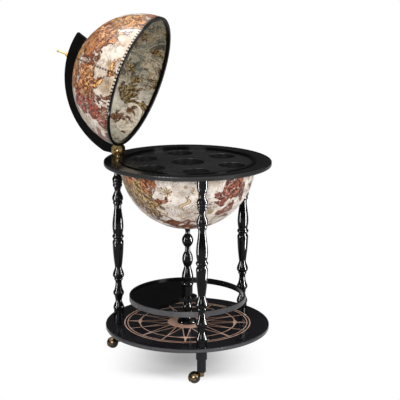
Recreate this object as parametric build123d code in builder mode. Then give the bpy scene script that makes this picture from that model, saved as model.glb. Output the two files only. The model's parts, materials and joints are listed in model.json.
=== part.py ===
from build123d import *

import os
from math import acos, asin, atan2, cos, hypot, radians, sin, sqrt, tan

# Globe bar on three turned legs: a bowl hung in a round top ring, a domed lid that swings
# over on a meridian arc, a round shelf with a gallery hoop below, and three ball casters.
# Millimetres, +Z up, floor at z = 0. The lid's hinge is on the -X side and the bar is drawn
# with its lid open. The stand's own axis lies at x = axis_x, which centres the whole.

# ---------------------------------------------------------------- driving dimensions
# Casters
ball_d = 35.0  # rolling ball
ball_gap = 0.5  # ball to hood, all round
hood_wall = 1.4
hood_short = 2.0  # the hood's edge stops this far above the ball's centre plane
hood_tilt = 50.0  # centre plane's normal, up from the trailing side
ear_r = 5.0  # ear round each end of the axle
caster_trail = 20.5  # stem axis to ball centre
axle_d = 4.0
boss_d = 16.0  # upright boss that holds the stem
boss_h = 12.0
stem_d = 8.0
stem_in_foot = 21.0
socket_flange_d = 22.0
socket_flange_t = 2.2
socket_d = 12.0  # sleeve pressed in the foot
swivel_gap = 0.3

# Feet below the shelf
foot_z = 37.0  # underside of the wooden foot
foot_d = 27.0
foot_collar_d = 32.8
foot_collar_h = 28.0
foot_round = 3.0

# Shelf, top ring and legs
shelf_top = 115.0
shelf_t = 12.5
ring_w = 48.2  # shelf and top ring are cut to one outer size
edge_round = 3.0
leg_len = 503.6
leg_foot_r = 15.5
leg_inset = 23.0  # leg axes in from the shelf's edge
ring_t = 12.5
stud_d = 8.0
stud_bite = 22.0  # stud into leg and into foot
dowel_d = 10.0
dowel_in_leg = 20.0
dowel_in_ring = 8.0

# Bowl, its trim and the tray
bowl_r = 206.5
bowl_drop = 4.0  # centre of the bowl's sphere below the ring's top
bowl_wall = 4.0
ring_gap = 0.3  # bowl to ring
trim_h = 4.0  # bead above the ring
trim_w = 10.0
trim_cover = 8.1  # the trim's inner edge, in from the bowl's outside
lip_depth = 10.5
ledge_w = 5.4
ledge_t = 2.5
tray_t = 2.5
tray_gap = 0.2
bottle_r = 50.0
bottle_depth = 90.0
glass_r = 40.0
glass_depth = 45.0
glass_inset = 18.4  # edge of a glass well in from the trim
glass_count = 6
well_round = 2.0

# Spindle, gallery hoop and gallery board
rod_d = 6.0
spindle_r = 16.3  # plain barrel either side of the board
board_z = 73.0  # above the shelf
board_t = 12.0
board_half_angle = 70.0
hub_r = 30.0
spindle_foot_r = 30.5
hoop_inset = 51.0  # hoop in from the leg axes
hoop_wall = 7.0
hoop_h = 18.0
hoop_screw_d = 4.0
hoop_screw_head_d = 8.0
hoop_screw_head_t = 2.4
hoop_screw_len = 26.0
washer_d = 22.0
washer_t = 1.5
nut_af = 10.0
nut_t = 5.0

# Hinge
pivot_inset = 27.0  # in from the ring's edge
pivot_rise = 14.0  # above the ring
hinge_plate_x = 26.0
hinge_plate_y = 46.0
hinge_plate_t = 2.8
hinge_plate_round = 9.0
cheek_t = 3.0
cheek_w = 36.0
cheek_top = 17.0  # above the pivot
cheek_reach = 20.4  # cheeks stay inside this radius of the pivot
cheek_waist = 8.0  # height, below the pivot, where the cheeks narrow to the plate
cheek_gap = 0.5  # arc to cheek
bolt_d = 8.0
bolt_head_d = 19.0
bolt_head_h = 5.0
hinge_screw_d = 4.0
hinge_screw_head_d = 7.5
hinge_screw_len = 10.0
stop_w = 8.5
stop_gap = 0.3

# Lid and meridian arc
open_angle = 73.0
lid_over = 0.5  # lid's radius past the bowl's
lid_wall = 4.0
liner_t = 1.0
lid_rise = 4.5  # rim's lower face above the ring, lid closed
lid_rim_t = 5.0
lid_rim_w = 10.0
rim_lip_h = 7.0
rim_lip_t = 3.6
arc_gap = 10.5  # lid to arc
arc_w = 32.5
arc_t = 18.0
arc_start = 12.0  # band begins this far up from the rim's plane, on the hinge side
arc_end = 108.0  # and ends past the pole
arc_foot_r = 11.0
arc_round = 1.2
pin_d = 8.0
pin_reach = 40.0  # past the arc
pin_knob_d = 8.0
pin_neck_d = 5.5
pole_nut_d = 14.0
pole_nut_t = 7.5
bush_d = 24.0
hub_flange_d = 32.0
hub_flange_t = 3.0
hub_sleeve_d = 14.0
pin_nut_t = 6.0
pin_nut_d = 15.0

# Clearances
fit = 0.05  # pin or stud in its hole, on the radius
glue_gap = 0.1  # curved faces glued together
running_gap = 0.3

# ---------------------------------------------------------------- derived places
disc_d = 2 * (bowl_r + ring_gap + ring_w)
leg_r = disc_d / 2 - leg_inset
hoop_outer_r = leg_r - hoop_inset
trim_inner_r = bowl_r - trim_cover
glass_circle_r = trim_inner_r - glass_inset - glass_r
pivot_r = disc_d / 2 - pivot_inset
lid_r = bowl_r + lid_over
lid_rim_inner_r = lid_r - lid_rim_w
arc_inner_r = lid_r + arc_gap
arc_outer_r = arc_inner_r + arc_w
pin_tip = arc_outer_r + pin_reach
shelf_low = shelf_top - shelf_t
ring_low = shelf_top + leg_len
ring_top = ring_low + ring_t
bowl_z = ring_top - bowl_drop
bowl_low = bowl_z - bowl_r
bowl_inner_r = bowl_r - bowl_wall
board_low = shelf_top + board_z
board_top = board_low + board_t
ledge_top = ring_top - lip_depth + ledge_t
tray_top = ledge_top + tray_t
pivot_z = ring_top + pivot_rise
ball_r = ball_d / 2
hood_inner_r = ball_r + ball_gap
hood_outer_r = hood_inner_r + hood_wall
stem_r = stem_d / 2
boss_top = foot_z - socket_flange_t - swivel_gap
hoop_inner_r = hoop_outer_r - hoop_wall

# Open lid: its centre swings about the pivot, its pole leans to -X.
swing = radians(open_angle)
arm_x, arm_z = pivot_r, lid_rise - pivot_rise
lid_x = -pivot_r + arm_x * cos(swing) - arm_z * sin(swing)
lid_z = pivot_z + arm_x * sin(swing) + arm_z * cos(swing)
knob_r = pin_knob_d / 2
reach_left = -lid_x + (pin_tip - knob_r) * sin(swing) + knob_r
axis_x = (reach_left - disc_d / 2) / 2

# Planes and axes that the pieces are drawn on
upright = Plane(origin=(axis_x, 0, 0), x_dir=(1, 0, 0), z_dir=(0, -1, 0))
stand_axis = Axis((axis_x, 0, 0), (0, 0, 1))
lid_side = Plane(
    origin=(axis_x + lid_x, 0, lid_z), x_dir=(cos(swing), 0, sin(swing)), z_dir=(0, -1, 0)
)
lid_pole = Axis(lid_side.origin, lid_side.y_dir)

# Leg places, and where each caster trails to, in degrees from +X
legs = {"hinge": (180, 199), "front": (-60, 199), "back": (60, 289)}


def level(z):
    """Horizontal plane at height z, centred on the stand's axis."""
    return Plane(origin=(axis_x, 0, z))


def spot(radius, angle, z=0.0):
    """Point at a radius and angle from the stand's axis."""
    return Vector(
        axis_x + radius * cos(radians(angle)), radius * sin(radians(angle)), z
    )


def lathe(point):
    """Side plane and axis for turning a piece about an upright line through a point."""
    side = Plane(origin=(point.X, point.Y, 0), x_dir=(1, 0, 0), z_dir=(0, -1, 0))
    return side, Axis((point.X, point.Y, 0), (0, 0, 1))


def turn(start, steps):
    """Draws a turned outline from start: cuts are straight, beads are arcs through their
    crest, vases are smooth curves. Returns the last point."""
    at = start
    for kind, *points in steps:
        if kind == "cut":
            Line(at, points[0])
        elif kind == "bead":
            ThreePointArc(at, points[0], points[1])
        else:
            Spline(at, *points)
        at = points[-1]
    return at


def crown(radius, base, tip):
    """Draws the half outline of a dome, from its edge at base to its tip on the axis."""
    rise = tip - base
    sphere = (radius**2 + rise**2) / (2 * rise)
    half = asin(radius / abs(sphere)) / 2
    middle = (abs(sphere) * sin(half), tip - sphere + sphere * cos(half))
    ThreePointArc((radius, base), middle, (0, tip))


def raised(steps, z):
    """The same outline steps, lifted by z."""
    return [(kind, *[(r, h + z) for r, h in points]) for kind, *points in steps]


def finish(piece, name):
    """Names a piece and writes it."""
    piece.part.label = name
    export_step(piece.part, f"parts/{name}.step")


os.makedirs("parts", exist_ok=True)

# ---------------------------------------------------------------- shelf and top ring
rod_r = rod_d / 2
stud_r = stud_d / 2
dowel_r = dowel_d / 2

with BuildPart() as shelf:
    with BuildSketch(level(shelf_low)):
        Circle(disc_d / 2)
        Circle(rod_r + fit, mode=Mode.SUBTRACT)
        for leg_angle, _ in legs.values():
            hole = spot(leg_r, leg_angle) - Vector(axis_x, 0, 0)
            with Locations((hole.X, hole.Y)):
                Circle(stud_r + fit, mode=Mode.SUBTRACT)
    extrude(amount=shelf_t)
    fillet(shelf.edges().filter_by(GeomType.CIRCLE).group_by(SortBy.RADIUS)[-1], edge_round)
finish(shelf, "shelf")

hinge_x = axis_x - pivot_r
hinge_screw_y = hinge_plate_y / 2 - hinge_screw_head_d / 2 - 1.2
hinge_screw_r = hinge_screw_d / 2

with BuildPart() as top_ring:
    with BuildSketch(level(ring_low)):
        Circle(disc_d / 2)
        Circle(bowl_r + ring_gap, mode=Mode.SUBTRACT)
    extrude(amount=ring_t)
    outer_edges = top_ring.edges().filter_by(GeomType.CIRCLE).group_by(SortBy.RADIUS)[-1]
    fillet(outer_edges, edge_round)
    for leg_angle, _ in legs.values():
        with BuildSketch(Plane(origin=spot(leg_r, leg_angle, ring_low))):
            Circle(dowel_r + fit)
        extrude(amount=dowel_in_ring + running_gap, mode=Mode.SUBTRACT)
    with BuildSketch(Plane(origin=(hinge_x, 0, ring_top))):
        with Locations((0, hinge_screw_y), (0, -hinge_screw_y)):
            Circle(hinge_screw_r + fit)
    extrude(amount=-hinge_screw_len, mode=Mode.SUBTRACT)
finish(top_ring, "top_ring")

# ---------------------------------------------------------------- turned legs
# (radius, height) up from the shelf, to the top of the long taper
leg_foot_steps = [
    ("cut", (leg_foot_r, 15.0)),
    ("vase", (17.2, 25.0), (13.4, 35.0), (10.0, 46.0)),
    ("cut", (13.2, 61.5)),
    ("bead", (17.5, 70.5), (14.4, 78.5)),
    ("vase", (11.5, 89.0), (9.8, 103.5)),
    ("cut", (11.0, 112.0)),
    ("bead", (13.6, 115.5), (12.6, 119.0)),
    ("vase", (18.2, 130.0), (15.6, 140.5), (11.4, 159.0)),
    ("vase", (16.2, 206.0), (17.3, 231.0)),
]
# (radius, depth) measured from the leg's top, at -leg_len to 0
leg_head_steps = [
    ("bead", (17.8, -267.4), (16.6, -262.4)),
    ("cut", (14.2, -258.6)),
    ("cut", (14.4, -254.4)),
    ("bead", (18.3, -248.4), (14.6, -242.4)),
    ("cut", (14.9, -237.4)),
    ("vase", (17.3, -221.0), (14.9, -184.0), (11.3, -156.0)),
    ("cut", (12.0, -146.0)),
    ("bead", (15.0, -140.0), (13.8, -134.6)),
    ("vase", (17.2, -127.0), (13.4, -112.0), (9.2, -100.5)),
    ("cut", (11.6, -89.5)),
    ("bead", (14.9, -84.4), (13.3, -79.4)),
    ("bead", (15.2, -75.0), (14.2, -70.8)),
    ("vase", (16.4, -65.0), (12.6, -56.0), (9.9, -46.0)),
    ("cut", (11.8, -35.8)),
    ("bead", (14.2, -30.6), (13.4, -26.2)),
    ("cut", (16.5, -24.5)),
    ("cut", (16.5, 0.0)),
]

for place, (leg_angle, _) in legs.items():
    side, own_axis = lathe(spot(leg_r, leg_angle))
    with BuildPart() as leg:
        with BuildSketch(side):
            with BuildLine():
                Line((0, shelf_top), (leg_foot_r, shelf_top))
                at = turn((leg_foot_r, shelf_top), raised(leg_foot_steps, shelf_top))
                at = turn(at, raised(leg_head_steps, ring_low))
                Line(at, (0, ring_low))
                Line((0, ring_low), (0, shelf_top))
            make_face()
        revolve(axis=own_axis)
        with BuildSketch(Plane(origin=spot(leg_r, leg_angle, shelf_top))):
            Circle(stud_r + fit)
        extrude(amount=stud_bite + running_gap, mode=Mode.SUBTRACT)
        with BuildSketch(Plane(origin=spot(leg_r, leg_angle, ring_low))):
            Circle(dowel_r + fit)
        extrude(amount=-dowel_in_leg - running_gap, mode=Mode.SUBTRACT)
    finish(leg, f"leg_{place}")

with BuildPart() as leg_studs:
    for leg_angle, _ in legs.values():
        with BuildSketch(Plane(origin=spot(leg_r, leg_angle, shelf_low - stud_bite))):
            Circle(stud_r)
        extrude(amount=stud_bite + shelf_t + stud_bite)
finish(leg_studs, "leg_studs")

with BuildPart() as leg_dowels:
    for leg_angle, _ in legs.values():
        with BuildSketch(Plane(origin=spot(leg_r, leg_angle, ring_low - dowel_in_leg))):
            Circle(dowel_r)
        extrude(amount=dowel_in_leg + dowel_in_ring)
finish(leg_dowels, "leg_dowels")

# ---------------------------------------------------------------- feet and casters
for place, (leg_angle, heading) in legs.items():
    foot_at = spot(leg_r, leg_angle)
    side, own_axis = lathe(foot_at)
    collar_low = shelf_low - foot_collar_h

    with BuildPart() as foot:
        with BuildSketch(Plane(origin=spot(leg_r, leg_angle, shelf_low))):
            Circle(foot_collar_d / 2)
        extrude(amount=-foot_collar_h)
        fillet(foot.edges().group_by(Axis.Z)[0], foot_round)
        with BuildSketch(Plane(origin=spot(leg_r, leg_angle, foot_z))):
            Circle(foot_d / 2)
        extrude(amount=collar_low - foot_z + 0.5)
        with BuildSketch(Plane(origin=spot(leg_r, leg_angle, shelf_low))):
            Circle(stud_r + fit)
        extrude(amount=-stud_bite - running_gap, mode=Mode.SUBTRACT)
        with BuildSketch(Plane(origin=spot(leg_r, leg_angle, foot_z))):
            Circle(socket_d / 2 + fit)
        extrude(amount=stem_in_foot + 2.0, mode=Mode.SUBTRACT)
    finish(foot, f"foot_{place}")

    with BuildPart() as socket:
        with BuildSketch(Plane(origin=spot(leg_r, leg_angle, foot_z - socket_flange_t))):
            Circle(socket_flange_d / 2)
        extrude(amount=socket_flange_t)
        with BuildSketch(Plane(origin=spot(leg_r, leg_angle, foot_z))):
            Circle(socket_d / 2)
        extrude(amount=stem_in_foot + 1.5)
        with BuildSketch(Plane(origin=spot(leg_r, leg_angle, foot_z - socket_flange_t))):
            Circle(stem_r + fit)
        extrude(amount=socket_flange_t + stem_in_foot + swivel_gap, mode=Mode.SUBTRACT)
        fillet(socket.edges().group_by(Axis.Z)[0].sort_by(SortBy.RADIUS)[-1], 0.8)
    finish(socket, f"caster_socket_{place}")

    # The ball trails behind the stem. The hood is a shell over its upper, trailing side.
    trail = Vector(cos(radians(heading)), sin(radians(heading)), 0)
    across = Vector(-trail.Y, trail.X, 0)
    ball_at = foot_at + trail * caster_trail + Vector(0, 0, ball_r)
    lean = radians(hood_tilt)
    hood_up = trail * cos(lean) + Vector(0, 0, sin(lean))
    hood_base = Plane(origin=ball_at + hood_up * hood_short, x_dir=across, z_dir=hood_up)
    axle_plane = Plane(origin=ball_at, x_dir=trail, z_dir=across)
    boss_low = boss_top - boss_h

    with BuildPart() as ears:
        with Locations(Location(ball_at)):
            Sphere(hood_outer_r)
        with Locations(Location(axle_plane)):
            Cylinder(ear_r, 3 * hood_outer_r, mode=Mode.INTERSECT)

    with BuildPart() as hood:
        with Locations(Location(ball_at)):
            Sphere(hood_outer_r)
        split(bisect_by=hood_base, keep=Keep.TOP)
        add(ears.part)
        with BuildSketch(Plane(origin=spot(leg_r, leg_angle, boss_low))):
            Circle(boss_d / 2)
        extrude(amount=boss_h)
        with Locations(Location(ball_at)):
            Sphere(hood_inner_r, mode=Mode.SUBTRACT)
        with BuildSketch(Plane(origin=spot(leg_r, leg_angle, boss_low + 1.5))):
            Circle(stem_r + fit)
        extrude(amount=boss_h, mode=Mode.SUBTRACT)
        with BuildSketch(axle_plane):
            Circle(axle_d / 2 + fit)
        extrude(amount=hood_outer_r + 1, both=True, mode=Mode.SUBTRACT)
    finish(hood, f"caster_hood_{place}")

    with BuildPart() as stem:
        with BuildSketch(Plane(origin=spot(leg_r, leg_angle, boss_low + 1.5))):
            Circle(stem_r)
        extrude(amount=foot_z + stem_in_foot - boss_low - 1.5)
        # shank below the ball's sphere stays clear of the ball
        with Locations(Location(ball_at)):
            Sphere(hood_inner_r, mode=Mode.SUBTRACT)
    finish(stem, f"caster_stem_{place}")

    with BuildPart() as axle:
        with BuildSketch(axle_plane):
            Circle(axle_d / 2)
        extrude(amount=hood_outer_r - 0.2, both=True)
    finish(axle, f"caster_axle_{place}")

    with BuildPart() as ball:
        with Locations(Location(axle_plane)):
            Sphere(ball_r)
            Cylinder(axle_d / 2 + fit, ball_d + 2, mode=Mode.SUBTRACT)
    finish(ball, f"caster_ball_{place}")

# ---------------------------------------------------------------- spindle and gallery
# (radius, height) above the shelf
spindle_foot_steps = [
    ("bead", (30.8, 4.0), (28.6, 7.5)),
    ("vase", (16.5, 13.0), (11.0, 21.0), (9.0, 30.0)),
    ("bead", (14.0, 48.0), (10.5, 63.0)),
    ("cut", (spindle_r, 66.0)),
]
# (radius, height) above the board
spindle_mid_steps = [
    ("cut", (spindle_r, 33.0)),
    ("cut", (17.2, 35.5)),
    ("bead", (18.4, 39.5), (17.0, 43.5)),
    ("cut", (14.2, 45.0)),
    ("cut", (14.6, 50.0)),
    ("vase", (18.0, 62.0), (14.6, 81.0), (10.2, 97.0)),
    ("bead", (16.8, 121.0), (8.4, 144.0)),
]
# (radius, depth) below the bowl
spindle_head_steps = [
    ("cut", (8.2, -62.0)),
    ("vase", (17.8, -41.6), (7.4, -20.6)),
    ("vase", (8.4, -9.0), (13.0, -1.5)),
]

with BuildPart() as spindle_lower:
    with BuildSketch(upright):
        with BuildLine():
            Line((rod_r + fit, shelf_top), (spindle_foot_r, shelf_top))
            at = turn((spindle_foot_r, shelf_top), raised(spindle_foot_steps, shelf_top))
            Polyline(at, (spindle_r, board_low), (rod_r + fit, board_low))
            Line((rod_r + fit, board_low), (rod_r + fit, shelf_top))
        make_face()
    revolve(axis=stand_axis)
finish(spindle_lower, "spindle_lower")

cup_top = bowl_low + 0.5
with BuildPart() as spindle_upper:
    with BuildSketch(upright):
        with BuildLine():
            Line((rod_r + fit, board_top), (spindle_r, board_top))
            at = turn((spindle_r, board_top), raised(spindle_mid_steps, board_top))
            at = turn(at, raised(spindle_head_steps, bowl_low))
            Polyline(at, (13.0, cup_top), (rod_r + fit, cup_top))
            Line((rod_r + fit, cup_top), (rod_r + fit, board_top))
        make_face()
    revolve(axis=stand_axis)
    with Locations((axis_x, 0, bowl_z)):
        Sphere(bowl_r + fit, mode=Mode.SUBTRACT)
finish(spindle_upper, "spindle_upper")

hoop_screw_angles = [180 + turn_by for turn_by in (-50, 0, 50)]
hoop_screw_z = board_low + board_t / 2
hoop_screw_r = hoop_screw_d / 2

with BuildPart() as gallery_board:
    with BuildSketch(level(board_low)):
        Circle(hoop_inner_r - glue_gap)
        with BuildLine():
            first, last = 180 - board_half_angle, 180 + board_half_angle
            span = 2 * hoop_inner_r
            corners = [
                (span * cos(radians(a)), span * sin(radians(a))) for a in (first, 180, last)
            ]
            Polyline((0, 0), *corners, close=True)
        make_face(mode=Mode.INTERSECT)
        Circle(hub_r)
        Circle(rod_r + fit, mode=Mode.SUBTRACT)
    extrude(amount=board_t)
    inner_corners = [
        edge
        for edge in gallery_board.edges().filter_by(Axis.Z)
        if hypot(edge.center().X - axis_x, edge.center().Y) < hub_r + 1
    ]
    fillet(inner_corners, 14.0)
    for screw_angle in hoop_screw_angles:
        outward = Vector(cos(radians(screw_angle)), sin(radians(screw_angle)), 0)
        with BuildSketch(
            Plane(origin=spot(hoop_outer_r, screw_angle, hoop_screw_z), z_dir=outward)
        ):
            Circle(hoop_screw_r + fit)
        extrude(amount=-hoop_screw_len - running_gap, mode=Mode.SUBTRACT)
finish(gallery_board, "gallery_board")

with BuildPart() as gallery_hoop:
    with BuildSketch(upright):
        with Locations((hoop_outer_r - hoop_wall / 2, board_low + hoop_h / 2)):
            RectangleRounded(hoop_wall, hoop_h, 1.6)
    revolve(axis=stand_axis)
    for screw_angle in hoop_screw_angles:
        outward = Vector(cos(radians(screw_angle)), sin(radians(screw_angle)), 0)
        entry = Plane(origin=spot(hoop_outer_r, screw_angle, hoop_screw_z), z_dir=outward)
        with BuildSketch(entry):
            Circle(hoop_screw_r + fit)
        extrude(amount=-hoop_wall - 1, mode=Mode.SUBTRACT)
        with BuildSketch(entry):
            Circle(hoop_screw_head_d / 2 + fit)
        extrude(amount=-hoop_screw_head_t, mode=Mode.SUBTRACT)
finish(gallery_hoop, "gallery_hoop")

with BuildPart() as hoop_screws:
    for screw_angle in hoop_screw_angles:
        outward = Vector(cos(radians(screw_angle)), sin(radians(screw_angle)), 0)
        entry = Plane(origin=spot(hoop_outer_r, screw_angle, hoop_screw_z), z_dir=outward)
        with BuildSketch(entry.offset(-0.4)):
            Circle(hoop_screw_head_d / 2)
        extrude(amount=0.4 - hoop_screw_head_t)
        with BuildSketch(entry.offset(-hoop_screw_head_t)):
            Circle(hoop_screw_r)
        extrude(amount=hoop_screw_head_t - hoop_screw_len)
finish(hoop_screws, "hoop_screws")

# One rod draws shelf, spindle, board and bowl together, with a washer and nut at each end.
bowl_floor = bowl_z - bowl_inner_r
washer_seat = bowl_z - sqrt(bowl_inner_r**2 - (washer_d / 2) ** 2) + fit
rod_low = shelf_low - washer_t - nut_t - 3
rod_top = washer_seat + washer_t + nut_t + 3

with BuildPart() as spindle_rod:
    with BuildSketch(level(rod_low)):
        Circle(rod_r)
    extrude(amount=rod_top - rod_low)
    chamfer(spindle_rod.edges().filter_by(GeomType.CIRCLE), 0.6)
finish(spindle_rod, "spindle_rod")

with BuildPart() as rod_washers:
    with BuildSketch(level(shelf_low - washer_t), level(washer_seat)):
        Circle(washer_d / 2)
        Circle(rod_r + fit, mode=Mode.SUBTRACT)
    extrude(amount=washer_t)
finish(rod_washers, "rod_washers")

with BuildPart() as rod_nuts:
    with BuildSketch(level(shelf_low - washer_t - nut_t), level(washer_seat + washer_t)):
        RegularPolygon(nut_af / 2, 6, major_radius=False)
        Circle(rod_r + fit, mode=Mode.SUBTRACT)
    extrude(amount=nut_t)
finish(rod_nuts, "rod_nuts")

# ---------------------------------------------------------------- bowl, trim and tray
mouth_outer = sqrt(bowl_r**2 - bowl_drop**2)
mouth_inner = sqrt(bowl_inner_r**2 - bowl_drop**2)
cosine = cos(radians(45))

with BuildPart() as lower_bowl:
    with BuildSketch(upright):
        with BuildLine():
            ThreePointArc(
                (0, bowl_low), (bowl_r * cosine, bowl_z - bowl_r * cosine), (mouth_outer, ring_top)
            )
            Line((mouth_outer, ring_top), (mouth_inner, ring_top))
            ThreePointArc(
                (mouth_inner, ring_top),
                (bowl_inner_r * cosine, bowl_z - bowl_inner_r * cosine),
                (0, bowl_floor),
            )
            Line((0, bowl_floor), (0, bowl_low))
        make_face()
    revolve(axis=stand_axis)
    with BuildSketch(level(bowl_low - 1)):
        Circle(rod_r + fit)
    extrude(amount=bowl_wall + 2, mode=Mode.SUBTRACT)
finish(lower_bowl, "lower_bowl")

lip_outer = mouth_inner - glue_gap
with BuildPart() as bowl_trim:
    with BuildSketch(upright) as trim_section:
        with BuildLine():
            Polyline(
                (trim_inner_r - ledge_w, ring_top - lip_depth),
                (lip_outer, ring_top - lip_depth),
                (lip_outer, ring_top),
                (trim_inner_r + trim_w, ring_top),
                (trim_inner_r + trim_w, ring_top + trim_h),
                (trim_inner_r, ring_top + trim_h),
                (trim_inner_r, ledge_top),
                (trim_inner_r - ledge_w, ledge_top),
                close=True,
            )
        make_face()
        fillet(trim_section.vertices().group_by(Axis.Y)[-1], 1.8)
    revolve(axis=stand_axis)
finish(bowl_trim, "bowl_trim")

with BuildPart() as glass_tray:
    with BuildSketch(level(ledge_top)):
        Circle(trim_inner_r - tray_gap)
    extrude(amount=tray_t)
    with BuildSketch(level(ledge_top)):
        Circle(bottle_r + tray_t)
    extrude(amount=tray_t - bottle_depth - tray_t)
    with BuildSketch(level(ledge_top)):
        with PolarLocations(glass_circle_r, glass_count):
            Circle(glass_r + tray_t)
    extrude(amount=tray_t - glass_depth - tray_t)
    under = [
        edge
        for edge in glass_tray.edges().filter_by(GeomType.CIRCLE)
        if edge.center().Z < ledge_top - 1
    ]
    fillet(under, well_round + 1)
    with BuildSketch(level(tray_top)):
        Circle(bottle_r)
    extrude(amount=-bottle_depth, mode=Mode.SUBTRACT)
    with BuildSketch(level(tray_top)):
        with PolarLocations(glass_circle_r, glass_count):
            Circle(glass_r)
    extrude(amount=-glass_depth, mode=Mode.SUBTRACT)
    mouths = glass_tray.edges().filter_by(GeomType.CIRCLE).filter_by_position(
        Axis.Z, tray_top - 0.01, tray_top + 0.01
    )
    fillet(mouths.group_by(SortBy.RADIUS)[0] + mouths.group_by(SortBy.RADIUS)[1], well_round / 2)
finish(glass_tray, "glass_tray")

# ---------------------------------------------------------------- hinge
cheek_in = arc_t / 2 + cheek_gap
cheek_out = cheek_in + cheek_t
plate_top = ring_top + hinge_plate_t
hinge_side = Plane(origin=(hinge_x, 0, pivot_z), x_dir=(1, 0, 0), z_dir=(0, -1, 0))
plate_depth = pivot_rise - hinge_plate_t  # pivot above the plate
bolt_r = bolt_d / 2

# Underside of the open arc: from the band's outer corner to a tangent of its round foot
corner_turn = radians(180 - arc_start + open_angle)
corner_x = lid_x + arc_outer_r * cos(corner_turn) + pivot_r
corner_z = lid_z + arc_outer_r * sin(corner_turn) - pivot_z
foot_slope = atan2(-corner_z, -corner_x) - asin(arc_foot_r / hypot(corner_x, corner_z))


def underside(x):
    """Height over the pivot of the open arc's underside, at x from the pivot."""
    return corner_z + (x - corner_x) * tan(foot_slope)


with BuildPart() as hinge_bracket:
    with BuildSketch(Plane(origin=(hinge_x, 0, ring_top))):
        RectangleRounded(hinge_plate_x, hinge_plate_y, hinge_plate_round)
    extrude(amount=hinge_plate_t)
    for cheek_place in (cheek_in, -cheek_out):
        with BuildSketch(hinge_side.offset(cheek_place)):
            with BuildLine():
                Polyline(
                    (-hinge_plate_x / 2 + 1, -plate_depth),
                    (-cheek_w / 2, -cheek_waist),
                    (-cheek_w / 2, cheek_top),
                    (cheek_w / 2, cheek_top),
                    (cheek_w / 2, -cheek_waist),
                    (hinge_plate_x / 2 - 1, -plate_depth),
                    close=True,
                )
            make_face()
            Circle(cheek_reach, mode=Mode.INTERSECT)
            Circle(bolt_r + fit, mode=Mode.SUBTRACT)
        extrude(amount=cheek_t)
    stop_far = -hinge_plate_x / 2 + 0.5
    stop_near = stop_far + stop_w
    with BuildSketch(hinge_side):
        with BuildLine():
            Polyline(
                (stop_far, -plate_depth),
                (stop_far, underside(stop_far) - stop_gap),
                (stop_near, underside(stop_near) - stop_gap),
                (stop_near, -plate_depth),
                close=True,
            )
        make_face()
    extrude(amount=cheek_in, both=True)
    with BuildSketch(Plane(origin=(hinge_x, 0, plate_top))):
        with Locations((0, hinge_screw_y), (0, -hinge_screw_y)):
            Circle(hinge_screw_r + fit)
    extrude(amount=-hinge_plate_t, mode=Mode.SUBTRACT)
finish(hinge_bracket, "hinge_bracket")

with BuildPart() as hinge_screws:
    for screw_y in (-hinge_screw_y, hinge_screw_y):
        side = Plane(origin=(hinge_x, screw_y, plate_top), x_dir=(1, 0, 0), z_dir=(0, -1, 0))
        with BuildSketch(side):
            with BuildLine():
                Line((0, 1.8), (0, 0.3 - hinge_screw_len))
                Line((0, 0.3 - hinge_screw_len), (hinge_screw_r, 2 - hinge_screw_len))
                Line((hinge_screw_r, 2 - hinge_screw_len), (hinge_screw_r, 0))
                Line((hinge_screw_r, 0), (hinge_screw_head_d / 2, 0))
                crown(hinge_screw_head_d / 2, 0, 1.8)
            make_face()
        revolve(axis=Axis((hinge_x, screw_y, 0), (0, 0, 1)))
finish(hinge_screws, "hinge_screws")

bolt_axis = Axis((hinge_x, 0, pivot_z), (0, 1, 0))
bolt_side = Plane(origin=(hinge_x, 0, pivot_z), x_dir=(1, 0, 0), z_dir=(0, 0, 1))
head_r = bolt_head_d / 2
dome_tip = cheek_out + bolt_head_h

with BuildPart() as hinge_bolt:
    with BuildSketch(bolt_side):
        with BuildLine():
            Polyline((0, cheek_out + 3.0), (bolt_r, cheek_out + 3.0), (bolt_r, -cheek_out))
            Line((bolt_r, -cheek_out), (head_r, -cheek_out))
            Line((head_r, -cheek_out), (head_r, -cheek_out - 0.8))
            crown(head_r, -cheek_out - 0.8, -dome_tip)
            Line((0, -dome_tip), (0, cheek_out + 3.0))
        make_face()
    revolve(axis=bolt_axis)
finish(hinge_bolt, "hinge_bolt")

with BuildPart() as hinge_cap_nut:
    with BuildSketch(bolt_side):
        with BuildLine():
            Polyline((bolt_r + fit, cheek_out), (head_r, cheek_out), (head_r, cheek_out + 0.8))
            crown(head_r, cheek_out + 0.8, dome_tip)
            Polyline(
                (0, dome_tip),
                (0, cheek_out + 3.3),
                (bolt_r + fit, cheek_out + 3.3),
                (bolt_r + fit, cheek_out),
            )
        make_face()
    revolve(axis=bolt_axis)
finish(hinge_cap_nut, "hinge_cap_nut")

# ---------------------------------------------------------------- meridian arc
# Drawn about the lid's centre with the pole along the sketch's Y.
pin_r = pin_d / 2
start_turn, end_turn = 180 - arc_start, 180 - arc_end
pivot_at = (-arm_x, -arm_z)


def on_arc(radius, angle):
    return (radius * cos(radians(angle)), radius * sin(radians(angle)))


def foot_tangent(corner, side):
    """Where the straight edge from a corner of the band meets the arc's round foot."""
    away_x, away_y = corner[0] - pivot_at[0], corner[1] - pivot_at[1]
    turned = atan2(away_y, away_x) + side * acos(arc_foot_r / hypot(away_x, away_y))
    return (pivot_at[0] + arc_foot_r * cos(turned), pivot_at[1] + arc_foot_r * sin(turned))


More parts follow.
